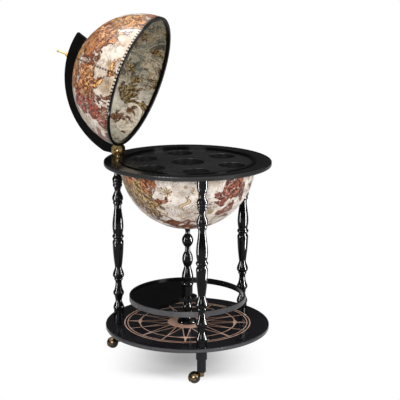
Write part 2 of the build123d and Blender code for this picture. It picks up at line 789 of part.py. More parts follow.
mid_turn = (start_turn + end_turn) / 2
with BuildPart() as meridian_arc:
    with BuildSketch(lid_side):
        with BuildLine():
            ThreePointArc(
                on_arc(arc_outer_r, start_turn),
                on_arc(arc_outer_r, mid_turn),
                on_arc(arc_outer_r, end_turn),
            )
            Line(on_arc(arc_outer_r, end_turn), on_arc(arc_inner_r, end_turn))
            ThreePointArc(
                on_arc(arc_inner_r, end_turn),
                on_arc(arc_inner_r, mid_turn),
                on_arc(arc_inner_r, start_turn),
            )
            Line(on_arc(arc_inner_r, start_turn), on_arc(arc_outer_r, start_turn))
        make_face()
        with BuildLine():
            outer_corner = on_arc(arc_outer_r, start_turn)
            inner_corner = on_arc(arc_inner_r, start_turn)
            Polyline(
                pivot_at,
                foot_tangent(outer_corner, 1),
                outer_corner,
                inner_corner,
                foot_tangent(inner_corner, -1),
                close=True,
            )
        make_face()
        with Locations(pivot_at):
            Circle(arc_foot_r)
            Circle(bolt_r + fit, mode=Mode.SUBTRACT)
    extrude(amount=arc_t / 2, both=True)
    rounded = meridian_arc.edges().filter_by(GeomType.CIRCLE)
    fillet([edge for edge in rounded if edge.radius > arc_foot_r + 1], arc_round)
    with BuildSketch(
        Plane(origin=lid_side.from_local_coords((0, arc_outer_r + 1)), z_dir=lid_side.y_dir)
    ):
        Circle(pin_r + fit)
    extrude(amount=arc_inner_r - arc_outer_r - 2, mode=Mode.SUBTRACT)
finish(meridian_arc, "meridian_arc")

# ---------------------------------------------------------------- pole pin and its parts
bush_low = lid_r + running_gap
flange_top = sqrt((lid_r - lid_wall - glue_gap - liner_t) ** 2 - (hub_flange_d / 2) ** 2) - fit
flange_low = flange_top - hub_flange_t
pin_nut_top = flange_low - running_gap
pin_low = pin_nut_top - pin_nut_t
neck_low = arc_outer_r + pole_nut_t

with BuildPart() as pole_pin:
    with BuildSketch(lid_side):
        with BuildLine():
            Polyline((0, pin_low), (pin_r, pin_low), (pin_r, neck_low), (pin_neck_d / 2, neck_low + 1))
            Line((pin_neck_d / 2, neck_low + 1), (pin_neck_d / 2 - 0.5, pin_tip - pin_knob_d))
            Line(
                (pin_neck_d / 2 - 0.5, pin_tip - pin_knob_d),
                (knob_r * cosine, pin_tip - knob_r - knob_r * cosine),
            )
            ThreePointArc(
                (knob_r * cosine, pin_tip - knob_r - knob_r * cosine),
                (knob_r * cosine, pin_tip - knob_r + knob_r * cosine),
                (0, pin_tip),
            )
            Line((0, pin_tip), (0, pin_low))
        make_face()
    revolve(axis=lid_pole)
finish(pole_pin, "pole_pin")

with BuildPart() as pole_nut:
    with BuildSketch(lid_side):
        with BuildLine():
            Polyline((pin_r + fit, arc_outer_r), (pole_nut_d / 2, arc_outer_r))
            ThreePointArc(
                (pole_nut_d / 2, arc_outer_r),
                (pole_nut_d / 2 + 1.2, arc_outer_r + pole_nut_t * 0.45),
                (pin_r + 0.8, neck_low),
            )
            Polyline((pin_r + 0.8, neck_low), (pin_r + fit, neck_low), (pin_r + fit, arc_outer_r))
        make_face()
    revolve(axis=lid_pole)
finish(pole_nut, "pole_nut")

with BuildPart() as pole_bush:
    with BuildSketch(lid_side):
        with BuildLine():
            seat = sqrt(arc_inner_r**2 - (bush_d / 2) ** 2)
            Polyline((pin_r + fit, bush_low), (bush_d / 2, bush_low))
            ThreePointArc(
                (bush_d / 2, bush_low), (bush_d / 2 - 2, (bush_low + seat) / 2), (bush_d / 2, seat)
            )
            Polyline((bush_d / 2, seat), (pin_r + fit, seat), (pin_r + fit, bush_low))
        make_face()
    revolve(axis=lid_pole)
finish(pole_bush, "pole_bush")

with BuildPart() as pin_nut:
    with BuildSketch(
        Plane(origin=lid_side.from_local_coords((0, pin_low)), z_dir=lid_side.y_dir)
    ):
        RegularPolygon(pin_nut_d / 2, 6, major_radius=False)
        Circle(pin_r + fit, mode=Mode.SUBTRACT)
    extrude(amount=pin_nut_t)
finish(pin_nut, "pin_nut")

# ---------------------------------------------------------------- lid
shell_inner = lid_r - lid_wall
liner_outer = shell_inner - glue_gap
liner_inner = liner_outer - liner_t
sleeve_r = hub_sleeve_d / 2
sleeve_top = lid_r - 1.0


def dome(outer, inner, low, hole):
    """Spherical shell about the lid's centre, from a height up, with a hole at its pole."""
    outer_low, inner_low = sqrt(outer**2 - low**2), sqrt(inner**2 - low**2)
    outer_top, inner_top = sqrt(outer**2 - hole**2), sqrt(inner**2 - hole**2)
    ThreePointArc((outer_low, low), (outer * cosine, outer * cosine), (hole, outer_top))
    Line((hole, outer_top), (hole, inner_top))
    ThreePointArc((hole, inner_top), (inner * cosine, inner * cosine), (inner_low, low))
    Line((inner_low, low), (outer_low, low))


with BuildPart() as lid_shell:
    with BuildSketch(lid_side):
        with BuildLine():
            dome(lid_r, shell_inner, lid_rim_t, sleeve_r + fit)
        make_face()
    revolve(axis=lid_pole)
finish(lid_shell, "lid_shell")

with BuildPart() as lid_liner:
    with BuildSketch(lid_side):
        with BuildLine():
            dome(liner_outer, liner_inner, lid_rim_t + rim_lip_h + glue_gap, sleeve_r + fit)
        make_face()
    revolve(axis=lid_pole)
finish(lid_liner, "lid_liner")

rim_outer = sqrt(lid_r**2 - lid_rim_t**2)
lip_out = sqrt(shell_inner**2 - (lid_rim_t + rim_lip_h) ** 2) - glue_gap
with BuildPart() as lid_rim:
    with BuildSketch(lid_side) as rim_section:
        with BuildLine():
            Polyline(
                (lid_rim_inner_r, 0),
                (rim_outer, 0),
                (rim_outer, lid_rim_t),
                (lip_out, lid_rim_t),
                (lip_out, lid_rim_t + rim_lip_h),
                (lip_out - rim_lip_t, lid_rim_t + rim_lip_h),
                (lid_rim_inner_r, lid_rim_t),
                close=True,
            )
        make_face()
        fillet(rim_section.vertices().group_by(Axis.Y)[0], 1.2)
    revolve(axis=lid_pole)
finish(lid_rim, "lid_rim")

with BuildPart() as lid_hub:
    with BuildSketch(lid_side):
        with BuildLine():
            Polyline(
                (pin_r + fit, flange_low),
                (hub_flange_d / 2, flange_low),
                (hub_flange_d / 2, flange_top),
                (sleeve_r, flange_top),
                (sleeve_r, sleeve_top),
                (pin_r + fit, sleeve_top),
                close=True,
            )
        make_face()
    revolve(axis=lid_pole)
finish(lid_hub, "lid_hub")
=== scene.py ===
"""Looks of the globe bar: printed globe, black lacquer, inlaid shelf, brass and casters.

Metres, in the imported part's frame: +Z up, floor at z = 0, the lid's hinge on the -X side.
"""

import json
from math import cos, pi, radians, sin

import bpy
from mathutils import Matrix, Vector


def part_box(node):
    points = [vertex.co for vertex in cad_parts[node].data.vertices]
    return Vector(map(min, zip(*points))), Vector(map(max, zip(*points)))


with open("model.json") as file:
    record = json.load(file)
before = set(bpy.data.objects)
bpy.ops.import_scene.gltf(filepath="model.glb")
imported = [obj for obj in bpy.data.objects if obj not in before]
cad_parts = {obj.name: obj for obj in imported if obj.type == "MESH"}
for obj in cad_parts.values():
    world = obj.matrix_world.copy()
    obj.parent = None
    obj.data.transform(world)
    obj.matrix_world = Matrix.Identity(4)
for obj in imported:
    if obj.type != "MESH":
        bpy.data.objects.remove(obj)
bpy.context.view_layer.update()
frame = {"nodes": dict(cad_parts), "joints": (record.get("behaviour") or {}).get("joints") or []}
nodes = frame["nodes"]
bpy.ops.object.select_all(action="DESELECT")

# ------------------------------------------------------------------ places on the object
shelf_low, shelf_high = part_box("shelf")
stand_x = (shelf_low.x + shelf_high.x) / 2
stand_axis = (stand_x, 0, 0)
shelf_top = shelf_high.z
board_edge = 0.2535  # radius at which the edge of the shelf and of the ring starts
hoop_edge = 0.1800

ring_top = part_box("top_ring")[1].z
mouth_below_ring_top = 0.004
bowl_centre = Vector((stand_x, 0, ring_top - mouth_below_ring_top))

lid_joint = next(j for j in frame["joints"] if j["name"] == "lid_spin")
lid_centre = Vector(lid_joint["pos_m"])
lid_pole = Vector(lid_joint["axis"]).normalized()
lid_across = Vector((0, 1, 0))
lid_front = lid_across.cross(lid_pole)


# ------------------------------------------------------------------ node wiring
class Wires:
    """Adds nodes to one tree and joins them."""

    def __init__(self, tree):
        """Works on the given node tree."""
        self.tree = tree

    def node(self, kind, **settings):
        """A new node with these settings."""
        made = self.tree.nodes.new(kind)
        for key, value in settings.items():
            setattr(made, key, value)
        return made

    def put(self, socket, value):
        """Joins an input to another node's output, or sets it to a plain value."""
        if isinstance(value, bpy.types.NodeSocket):
            self.tree.links.new(value, socket)
        elif value is not None:
            if socket.type == "RGBA" and len(value) == 3:
                value = (*value, 1.0)
            socket.default_value = value

    def math(self, operation, a, b=None, c=None, clamp=False):
        """One sum on numbers."""
        made = self.node("ShaderNodeMath", operation=operation, use_clamp=clamp)
        for socket, value in zip(made.inputs, (a, b, c)):
            self.put(socket, value)
        return made.outputs[0]

    def times(self, a, b):
        """The product of two numbers or masks."""
        return self.math("MULTIPLY", a, b)

    def minus(self, a, b):
        """The first number less the second."""
        return self.math("SUBTRACT", a, b)

    def highest(self, a, b):
        """The greater of two numbers, or either of two masks."""
        return self.math("MAXIMUM", a, b)

    def outside(self, mask):
        """1 where the mask is 0, and 0 where it is 1."""
        return self.math("SUBTRACT", 1.0, mask)

    def apart(self, a, b):
        """How far two numbers are from each other."""
        return self.math("ABSOLUTE", self.minus(a, b))

    def vector(self, operation, a, b=None, scale=None):
        """One sum on vectors."""
        made = self.node("ShaderNodeVectorMath", operation=operation)
        self.put(made.inputs[0], a)
        self.put(made.inputs[1], b)
        if scale is not None:
            self.put(made.inputs["Scale"], scale)
        gives_number = operation in ("DOT_PRODUCT", "LENGTH", "DISTANCE")
        return made.outputs["Value" if gives_number else "Vector"]

    def part_along(self, position, way):
        """The part of a position that lies along a direction."""
        return self.vector("DOT_PRODUCT", position, way)

    def mix(self, factor, a, b, how="MIX"):
        """Colour a where the factor is 0, and b where it is 1."""
        made = self.node("ShaderNodeMix", data_type="RGBA", blend_type=how)
        self.put(made.inputs[0], factor)
        self.put(made.inputs[6], a)
        self.put(made.inputs[7], b)
        return made.outputs[2]

    def paint(self, under, mask, strength, colour):
        """A colour laid over another through a mask, at part strength."""
        return self.mix(self.times(mask, strength), under, colour)

    def tinted(self, colour, tint):
        """A colour multiplied by a tint."""
        return self.mix(1.0, colour, tint, "MULTIPLY")

    def blend(self, factor, a, b):
        """Number a where the factor is 0, and b where it is 1."""
        made = self.node("ShaderNodeMix", data_type="FLOAT")
        self.put(made.inputs[0], factor)
        self.put(made.inputs[2], a)
        self.put(made.inputs[3], b)
        return made.outputs[0]

    def smooth(self, value, low, high):
        """0 at low, 1 at high, with a soft step between."""
        made = self.node("ShaderNodeMapRange", interpolation_type="SMOOTHSTEP")
        self.put(made.inputs["Value"], value)
        self.put(made.inputs["From Min"], low)
        self.put(made.inputs["From Max"], high)
        return made.outputs["Result"]

    def line(self, distance, width):
        """1 on a line, fading at its edges."""
        return self.outside(self.smooth(distance, width * 0.6, width * 1.4))

    def noise(self, vector, scale, detail=3.0, roughness=0.5, distortion=0.0, colour=False):
        """Cloudy noise, as one number or as three."""
        made = self.node("ShaderNodeTexNoise")
        self.put(made.inputs["Vector"], vector)
        made.inputs["Scale"].default_value = scale
        made.inputs["Detail"].default_value = detail
        made.inputs["Roughness"].default_value = roughness
        made.inputs["Distortion"].default_value = distortion
        return made.outputs["Color" if colour else "Fac"]

    def cells(self, vector, scale, feature="F1", output="Distance"):
        """Scattered cells: the distance to their middles or edges, or a colour for each."""
        made = self.node("ShaderNodeTexVoronoi", feature=feature)
        self.put(made.inputs["Vector"], vector)
        self.put(made.inputs["Scale"], scale)
        return made.outputs[output]

    def ramp(self, value, *stops):
        """Colours in a row, picked by a number from 0 to 1."""
        made = self.node("ShaderNodeValToRGB")
        elements = made.color_ramp.elements
        while len(elements) < len(stops):
            elements.new(0.5)
        for element, (place, colour) in zip(elements, stops):
            element.position = place
            element.color = (*colour, 1.0)
        self.put(made.inputs[0], value)
        return made.outputs[0]

    def split(self, kind, value):
        """The three parts of a colour or a vector."""
        made = self.node(kind)
        self.put(made.inputs[0], value)
        return made.outputs

    def group(self, tree, **values):
        """A shader group placed in this tree with its own values."""
        made = self.node("ShaderNodeGroup", node_tree=tree)
        for name, value in values.items():
            self.put(made.inputs[name.replace("_", " ")], value)
        return made.outputs


def new_group(name, inputs, outputs):
    """An empty shader group, its wires, its inputs by name and its output sockets by name."""
    tree = bpy.data.node_groups.new(name, "ShaderNodeTree")
    for socket_name, kind, value in inputs:
        socket = tree.interface.new_socket(socket_name, in_out="INPUT", socket_type=kind)
        if value is not None:
            socket.default_value = value
    for socket_name, kind in outputs:
        tree.interface.new_socket(socket_name, in_out="OUTPUT", socket_type=kind)
    wires = Wires(tree)
    enter = wires.node("NodeGroupInput")
    leave = wires.node("NodeGroupOutput")
    return tree, wires, enter.outputs, leave.inputs


NUMBER, COLOUR, VECTOR = "NodeSocketFloat", "NodeSocketColor", "NodeSocketVector"


# ------------------------------------------------------------------ shared effects
def make_grain_group():
    """Fine surface unevenness, dust and hairline scratches of a finished surface."""
    tree, w, enter, leave = new_group(
        "surface_grain",
        [("Position", VECTOR, None), ("Ripple Scale", NUMBER, 60.0), ("Dust", NUMBER, 0.3)],
        [("Height", NUMBER), ("Dust", NUMBER), ("Scuffs", NUMBER)],
    )
    at = enter["Position"]
    scaled = w.vector("SCALE", at, scale=enter["Ripple Scale"])
    ripple = w.noise(scaled, 1.0, 2.0)
    dust_cloud = w.smooth(w.noise(at, 9.0, 5.0, 0.65), 0.48, 0.78)
    specks = w.outside(w.smooth(w.cells(at, 420.0), 0.06, 0.16))
    dust = w.times(w.math("ADD", dust_cloud, specks, clamp=True), enter["Dust"])
    stretched = w.vector("MULTIPLY", at, (18.0, 260.0, 90.0))
    scratch = w.smooth(w.noise(stretched, 1.0, 2.0, 0.5, 0.6), 0.66, 0.74)
    w.put(leave["Height"], ripple)
    w.put(leave["Dust"], dust)
    w.put(leave["Scuffs"], scratch)
    return tree


def make_star_group():
    """Compass star in a plane: East and North are 1 at the tips of the rays."""
    tree, w, enter, leave = new_group(
        "compass_star",
        [
            ("East", NUMBER, 0.0),
            ("North", NUMBER, 0.0),
            ("Points", NUMBER, 8.0),
            ("Slimness", NUMBER, 4.0),
            ("Line", NUMBER, 0.05),
        ],
        [
            ("Inside", NUMBER),
            ("Half", NUMBER),
            ("Outline", NUMBER),
            ("Radius", NUMBER),
            ("Angle", NUMBER),
        ],
    )
    east, north = enter["East"], enter["North"]
    radius = w.math("SQRT", w.math("ADD", w.times(east, east), w.times(north, north)))
    angle = w.math("ARCTAN2", east, north)
    half_step = w.math("DIVIDE", pi, enter["Points"])
    off_ray = w.math("PINGPONG", angle, half_step)
    along = w.times(radius, w.math("COSINE", off_ray))
    beside = w.times(radius, w.math("SINE", off_ray))
    reach = w.math("MULTIPLY_ADD", beside, enter["Slimness"], along)
    turned = w.math("DIVIDE", angle, w.times(half_step, 2.0))
    side = w.math("GREATER_THAN", w.math("FRACT", turned), 0.5)
    off_edge = w.math("DIVIDE", w.apart(reach, 1.0), enter["Line"])
    w.put(leave["Inside"], w.outside(w.smooth(reach, 0.98, 1.02)))
    w.put(leave["Half"], side)
    w.put(leave["Outline"], w.line(off_edge, 1.0))
    w.put(leave["Radius"], radius)
    w.put(leave["Angle"], angle)
    return tree


grain_group = make_grain_group()
star_group = make_star_group()

# ------------------------------------------------------------------ printed maps
# Inks and paper tones that every map shares
outline_ink = (0.060, 0.018, 0.014)
hatch_ink = (0.18, 0.11, 0.075)
sketch_ink = (0.10, 0.055, 0.033)
scroll_ink = (0.085, 0.045, 0.025)
rhumb_ink = (0.18, 0.11, 0.07)
equator_ink = (0.016, 0.012, 0.009)
meridian_ink = (0.028, 0.018, 0.012)
isle_brown = (0.17, 0.055, 0.026)
hill_shade, hill_light, hill_paper = (0.25, 0.09, 0.11), (2.0, 1.9, 1.8), (0.97, 0.78, 0.50)
rose_gilt, rose_dark, scroll_gilt = (0.42, 0.27, 0.09), (0.05, 0.035, 0.018), (0.52, 0.33, 0.13)
varnish_tint, foxing_brown, fibre_brown = (0.80, 0.66, 0.46), (0.17, 0.095, 0.05), (0.22, 0.14, 0.09)

# Tones of the lining's sea, with painted shade on one side and painted light on the other
lining_shade_tint = (0.50, 0.45, 0.36)
wide_contour, contour_ink, contour_cream = (0.135, 0.18, 0.175), (0.05, 0.038, 0.022), (0.70, 0.62, 0.46)
lit_paper, lit_contour, lit_side_ink = (1.0, 0.90, 0.74), (0.40, 0.42, 0.38), (0.12, 0.09, 0.06)

country_scale = 4.6
shoreline_width, border_width = 0.026, 0.030
isle_level, fine_folds, wide_folds = 0.685, 62.0, 24.0
grid_step, grid_line = radians(7.5), 0.0022
rose_rims, rose_ray_step = (0.66, 0.80), pi / 16

# Graduations: the toothed band beside the equator and the toothed meridian
band_base, band_tooth, band_step, band_gap = radians(1.5), radians(1.7), radians(1.5), radians(0.8)
dark_meridian, meridian_step, meridian_gap = radians(-76.0), radians(1.45), radians(0.75)
meridian_base, meridian_tooth = 0.0035, 0.0105


def direction(longitude, latitude):
    """The way out from a globe's centre to a place on it, given in degrees."""
    a, b = radians(longitude), radians(latitude)
    return Vector((cos(a) * cos(b), sin(a) * cos(b), sin(b)))


def ways_at(longitude, latitude):
    """The ways out, east and north at a place on a globe."""
    out = direction(longitude, latitude)
    east = Vector((0, 0, 1)).cross(out).normalized()
    return out, east, out.cross(east)


def on_near_half(w, at, out):
    """1 on the half of the globe that faces the given way."""
    return w.math("GREATER_THAN", w.part_along(at, out), 0.0)


def draw_lands(w, at, shore, lands):
    """The distance in from the nearest shore, and the tint of the land there."""
    field, tint = None, None
    for longitude, latitude, size, land_tint in lands:
        towards = w.part_along(shore, direction(longitude, latitude))
        reach = w.times(w.minus(towards, cos(radians(size))), 1 / sin(radians(size)))
        if field is None:
            field, tint = reach, w.mix(0.0, land_tint, land_tint)
            continue
        nearer = w.smooth(w.minus(reach, field), -0.03, 0.03)
        tint = w.mix(nearer, tint, land_tint)
        field = w.highest(field, reach)
    # Islands, where a fine noise peaks
    isle = w.times(w.minus(w.noise(at, 8.0, 3.0, 0.55), isle_level), 2.6)
    nearer = w.smooth(w.minus(isle, field), -0.01, 0.01)
    return w.highest(field, isle), w.mix(nearer, tint, isle_brown)


def print_lands(w, at, bent, field, tint, sea, countries):
    """Countries, hills lit from one side, engraved strokes, rivers and darker coasts."""
    tone = w.split("ShaderNodeSeparateColor", w.cells(bent, country_scale, output="Color"))[0]
    colour = w.mix(0.16, tint, w.ramp(tone, *countries))
    dark = w.tinted(colour, hill_shade)
    green = w.split("ShaderNodeSeparateColor", colour)[1]
    towards_paper = w.math("MULTIPLY_ADD", w.smooth(green, 0.05, 0.16), 0.24, 0.10)
    pale = w.mix(towards_paper, w.tinted(colour, hill_light), hill_paper)

    lit_from = w.vector("ADD", at, (0.014, -0.007, 0.016))
    slope = w.minus(w.noise(at, 11.0, 6.0, 0.62, 0.9), w.noise(lit_from, 11.0, 6.0, 0.62, 0.9))
    colour = w.paint(colour, w.smooth(slope, 0.018, 0.045), 0.92, dark)
    bright_patch = w.math("MULTIPLY_ADD", w.smooth(w.noise(at, 2.6, 2.0), 0.42, 0.58), 0.75, 0.15)
    colour = w.paint(colour, w.smooth(slope, -0.018, -0.055), bright_patch, pale)
    strokes = w.noise(w.vector("MULTIPLY", bent, (1.0, 1.0, 0.45)), 30.0, 3.0, 0.55, 0.8)
    colour = w.paint(colour, w.smooth(strokes, 0.56, 0.60), 0.60, dark)

    off_river = w.apart(w.noise(at, 3.3, 5.0, 0.6, 0.4), 0.5)
    colour = w.paint(colour, w.line(off_river, 0.0085), 0.85, dark)
    colour = w.paint(colour, w.line(off_river, 0.0040), 0.90, sea)
    coast = w.outside(w.smooth(field, 0.01, 0.07))
    colour = w.paint(colour, coast, 0.55, dark)
    borders = w.line(w.cells(bent, country_scale, "DISTANCE_TO_EDGE"), border_width)
    return w.paint(colour, borders, 0.80, outline_ink)


def print_sea(w, at, wander, field, latitude, sea, sea_stain):
    """Stained paper, hatching along the shores, sketched waves and broken scrolls."""
    water = w.mix(w.smooth(w.noise(at, 3.4, 6.0, 0.62), 0.42, 0.66), sea, sea_stain)
    water = w.paint(water, w.smooth(w.noise(at, 11.0, 5.0, 0.6), 0.5, 0.72), 0.4, sea_stain)

    hatch_wave = w.math("SINE", w.times(latitude, 260.0))
    hatch = w.times(w.smooth(hatch_wave, -0.2, 0.5), w.smooth(field, -0.085, -0.005))
    water = w.paint(water, hatch, 0.62, hatch_ink)

    sketch_patch = w.smooth(w.noise(at, 5.2, 2.0), 0.47, 0.53)
    sketch = w.line(w.math("PINGPONG", w.noise(at, 16.0, 4.0, 0.55, 1.6), 0.07), 0.022)
    water = w.paint(water, w.times(sketch, sketch_patch), 0.90, sketch_ink)

    swirl = w.cells(w.vector("ADD", at, w.vector("SCALE", wander, scale=0.12)), 6.5)
    rings = w.line(w.math("PINGPONG", swirl, 0.065), 0.015)
    broken = w.smooth(w.noise(at, 8.5, 3.0, 0.6, 1.0), 0.50, 0.55)
    near = w.outside(w.smooth(swirl, 0.20, 0.30))
    scroll = w.times(w.times(rings, broken), near)
    return w.paint(water, scroll, 0.85, scroll_ink)


def print_contours(w, at, latitude, water, strength):
    """Sea drawn as waving contour lines, with painted shade on one side and painted light on the other.
    """
    drift = w.noise(at, 2.6, 5.0, 0.62, 0.6)
    fold = w.math("SINE", w.math("MULTIPLY_ADD", drift, fine_folds, w.times(latitude, 9.0)))
    wide_fold = w.math("SINE", w.math("MULTIPLY_ADD", drift, wide_folds, w.times(latitude, 6.0)))
    # Painted shade: the side of the lining facing this way is darkened
    shaded_side = w.smooth(w.part_along(at, direction(78, 14)), 0.45, 0.95)
    water = w.paint(water, shaded_side, 0.40, w.tinted(water, lining_shade_tint))
    water = w.paint(water, w.smooth(wide_fold, -0.1, 0.8), strength, wide_contour)
    drawn_patch = w.math("MULTIPLY_ADD", w.smooth(w.noise(at, 2.9, 2.0), 0.44, 0.55), 0.60, 0.20)
    water = w.paint(water, w.smooth(fold, 0.25, 0.75), drawn_patch, contour_ink)
    water = w.paint(water, w.smooth(fold, -0.45, -0.85), 0.45, contour_cream)

    # Painted light: the other side of the lining is lightened, with paler contour lines on it
    lit_side = w.smooth(w.part_along(at, direction(140, 16)), 0.80, 0.95)
    water = w.paint(water, lit_side, 0.76, lit_paper)
    lit_fold = w.times(w.smooth(wide_fold, 0.05, 0.65), lit_side)
    water = w.paint(water, lit_fold, 0.42, lit_contour)
    lit_line = w.times(w.smooth(fold, 0.35, 0.85), lit_side)
    return w.paint(water, lit_line, 0.30, lit_side_ink)


def draw_rose(w, at, longitude, latitude, size):
    """One compass rose: its mask, its colour, and the straight rays that run out from it."""
    out, east_way, north_way = ways_at(longitude, latitude)
    facing = on_near_half(w, at, out)
    rose = w.group(
        star_group,
        East=w.times(w.part_along(at, east_way), 1 / size),
        North=w.times(w.part_along(at, north_way), 1 / size),
        Slimness=3.4,
    )
    radius = rose["Radius"]
    off_ray = w.times(w.math("PINGPONG", rose["Angle"], rose_ray_step), w.times(radius, size))
    rays = w.times(w.line(off_ray, 0.0018), w.smooth(radius, 1.05, 1.15))
    rays = w.times(rays, w.outside(w.smooth(radius, 9.0, 13.0)))
    rims = w.highest(
        w.line(w.apart(radius, rose_rims[0]), 0.035), w.line(w.apart(radius, rose_rims[1]), 0.03)
    )
    drawn = w.highest(rose["Inside"], rims)
    dark_half = w.highest(rose["Half"], rose["Outline"])
    shade = w.mix(w.times(dark_half, rose["Inside"]), rose_gilt, rose_dark)
    return w.times(drawn, facing), shade, w.times(rays, facing)


def draw_roses(w, at, roses):
    """All the compass roses of a map: their mask, their colours and their rays."""
    mask, colour, rhumbs = None, None, None
    for rose in roses:
        drawn, shade, rays = draw_rose(w, at, *rose)
        if mask is None:
            mask, colour, rhumbs = drawn, shade, rays
            continue
        colour = w.mix(drawn, colour, shade)
        mask = w.highest(mask, drawn)
        rhumbs = w.highest(rhumbs, rays)
    return mask, colour, rhumbs


def print_ribbon(w, at, water, longitude, latitude, half_length, tilt):
    """One waving ribbon at sea, gilt with a dark outline."""
    out, east_way, north_way = ways_at(longitude, latitude)
    along_way = north_way * cos(radians(tilt)) + east_way * sin(radians(tilt))
    along = w.times(w.part_along(at, along_way), 1 / half_length)
    beside = w.times(w.part_along(at, along_way.cross(out)), 1 / half_length)
    wave = w.times(w.math("SINE", w.times(along, 3.3)), 0.42)
    taper = w.math("MULTIPLY_ADD", w.times(along, along), -0.25, 0.26)
    off = w.minus(w.apart(beside, wave), taper)
    facing = on_near_half(w, at, out)
    body = w.times(w.outside(w.smooth(off, -0.02, 0.02)), facing)
    edge = w.times(w.line(w.math("ABSOLUTE", off), 0.05), facing)
    edge = w.times(edge, w.math("LESS_THAN", w.math("ABSOLUTE", along), 1.02))
    water = w.paint(water, body, 0.8, scroll_gilt)
    return w.paint(water, edge, 0.9, outline_ink)


def print_graduations(w, surface, longitude, latitude, height):
    """A toothed dark band beside the equator, and one toothed dark meridian."""
    tooth = w.math("GREATER_THAN", w.math("PINGPONG", longitude, band_step), band_gap)
    band_top = w.math("MULTIPLY_ADD", tooth, band_tooth, band_base)
    in_band = w.math("LESS_THAN", w.math("ABSOLUTE", latitude), band_top)
    surface = w.mix(in_band, surface, equator_ink)

    off_meridian = w.math("ABSOLUTE", w.math("ADD", longitude, -dark_meridian))
    beside = w.times(off_meridian, w.math("COSINE", latitude))
    step = w.math("GREATER_THAN", w.math("PINGPONG", latitude, meridian_step), meridian_gap)
    tooth_width = w.math("MULTIPLY_ADD", step, meridian_tooth, meridian_base)
    above_band = w.math("GREATER_THAN", height, 0.03)
    on_line = w.times(w.math("LESS_THAN", beside, tooth_width), above_band)
    return w.paint(surface, on_line, 0.92, meridian_ink)


def age_paper(w, at, bent, surface, fibre):
    """Yellowed varnish in clouds, foxing spots and paper fibre."""
    stain = w.smooth(w.noise(at, 1.7, 6.0, 0.65), 0.45, 0.75)
    surface = w.paint(surface, stain, 0.25, w.tinted(surface, varnish_tint))
    foxing = w.outside(w.smooth(w.cells(bent, 17.0), 0.05, 0.11))
    surface = w.paint(surface, foxing, 0.5, foxing_brown)
    return w.paint(surface, w.smooth(fibre, 0.55, 0.75), 0.18, fibre_brown)


def make_map_group(name, lands, roses, ribbons, sea, sea_stain, countries, contours=0.0):
    """Old printed map on a globe, with made-up lands.

    Position is measured from the globe's centre in the globe's own frame, pole up. Lands are
    (longitude, latitude, radius in degrees, tint). Roses are (longitude, latitude, size), and
    ribbons (longitude, latitude, half length, tilt in degrees), with sizes in globe radii.
    """
    tree, w, enter, leave = new_group(
        name,
        [("Position", VECTOR, None)],
        [("Color", COLOUR), ("Height", NUMBER), ("Wear", NUMBER)],
    )
    at = w.vector("NORMALIZE", enter["Position"])
    x, y, z = w.split("ShaderNodeSeparateXYZ", at)
    latitude = w.math("ARCSINE", z)
    longitude = w.math("ARCTAN2", y, x)
    wander = w.vector("SUBTRACT", w.noise(at, 2.8, 8.0, 0.60, 0.5, colour=True), (0.5, 0.5, 0.5))
    shore = w.vector("ADD", at, w.vector("SCALE", wander, scale=0.62))
    bent = w.vector("ADD", at, w.vector("SCALE", wander, scale=0.55))

    field, tint = draw_lands(w, at, shore, lands)
    land = w.smooth(field, -0.002, 0.002)
    shoreline = w.line(w.math("ABSOLUTE", field), shoreline_width)
    ground = print_lands(w, at, bent, field, tint, sea, countries)

    water = print_sea(w, at, wander, field, latitude, sea, sea_stain)
    if contours:
        water = print_contours(w, at, latitude, water, contours)
    motifs, motif_colour, rhumbs = draw_roses(w, at, roses)
    water = w.paint(water, rhumbs, 0.34, rhumb_ink)
    for ribbon in ribbons:
        water = print_ribbon(w, at, water, *ribbon)

    parallels = w.line(w.math("PINGPONG", latitude, grid_step), grid_line)
    spread = w.times(w.math("PINGPONG", longitude, grid_step), w.math("COSINE", latitude))
    grid = w.highest(parallels, w.line(spread, grid_line))
    surface = w.mix(land, water, ground)
    surface = w.paint(surface, grid, 0.30, outline_ink)
    surface = w.paint(surface, w.times(motifs, w.outside(land)), 0.85, motif_colour)
    surface = w.paint(surface, shoreline, 0.85, outline_ink)
    surface = print_graduations(w, surface, longitude, latitude, z)
    fibre = w.noise(at, 150.0, 3.0, 0.6)
    w.put(leave["Color"], age_paper(w, at, bent, surface, fibre))
    w.put(leave["Height"], w.math("MULTIPLY_ADD", shoreline, -0.4, fibre))
    w.put(leave["Wear"], w.noise(at, 5.0, 5.0, 0.6))
    return tree


olive, ochre, orange = (0.25, 0.185, 0.055), (0.46, 0.235, 0.062), (0.44, 0.18, 0.058)
maroon, brown, rose_tint = (0.31, 0.046, 0.030), (0.22, 0.072, 0.026), (0.44, 0.19, 0.095)
wine, moss = (0.15, 0.034, 0.027), (0.205, 0.157, 0.038)
country_tints = (
    (0.0, maroon),
    (0.22, orange),
    (0.42, ochre),
    (0.60, brown),
    (0.78, rose_tint),
    (1.0, olive),
)
lining_tints = (
    (0.0, (0.14, 0.07, 0.04)),
    (0.3, (0.28, 0.20, 0.07)),
    (0.6, (0.19, 0.15, 0.06)),
    (1.0, (0.30, 0.17, 0.09)),
)

